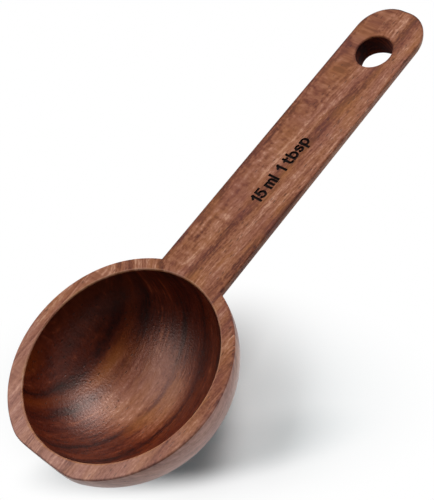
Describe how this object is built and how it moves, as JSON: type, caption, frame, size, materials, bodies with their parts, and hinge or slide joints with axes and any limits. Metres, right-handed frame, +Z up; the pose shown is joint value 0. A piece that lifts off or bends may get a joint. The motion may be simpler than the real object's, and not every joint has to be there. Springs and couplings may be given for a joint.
{
  "type": "measuring spoon",
  "caption": "Wooden tablespoon measure with a round, deep bowl, a flat-topped straight handle level with the rim, and a round hanging hole at the handle's end.",
  "frame": {"origin": "on the table, straight below the middle of the spoon's length and width, with the spoon lying at rest on the underside of its bowl and of its handle's tip", "axes": "+Z up from the table, +Y from the bowl towards the end of the handle, +X across the spoon. The rim and the top of the handle are one plane, which slopes down towards +Y by the rest angle of about 9.4 degrees."},
  "size_m": [0.0478, 0.1162, 0.0235],
  "materials": {
    "walnut": "fine-sanded walnut with a thin oil finish, satin, darker inside the bowl"
  },
  "bodies": {
    "root": {"bowl": "walnut", "handle": "walnut"}
  },
  "joints": []
}
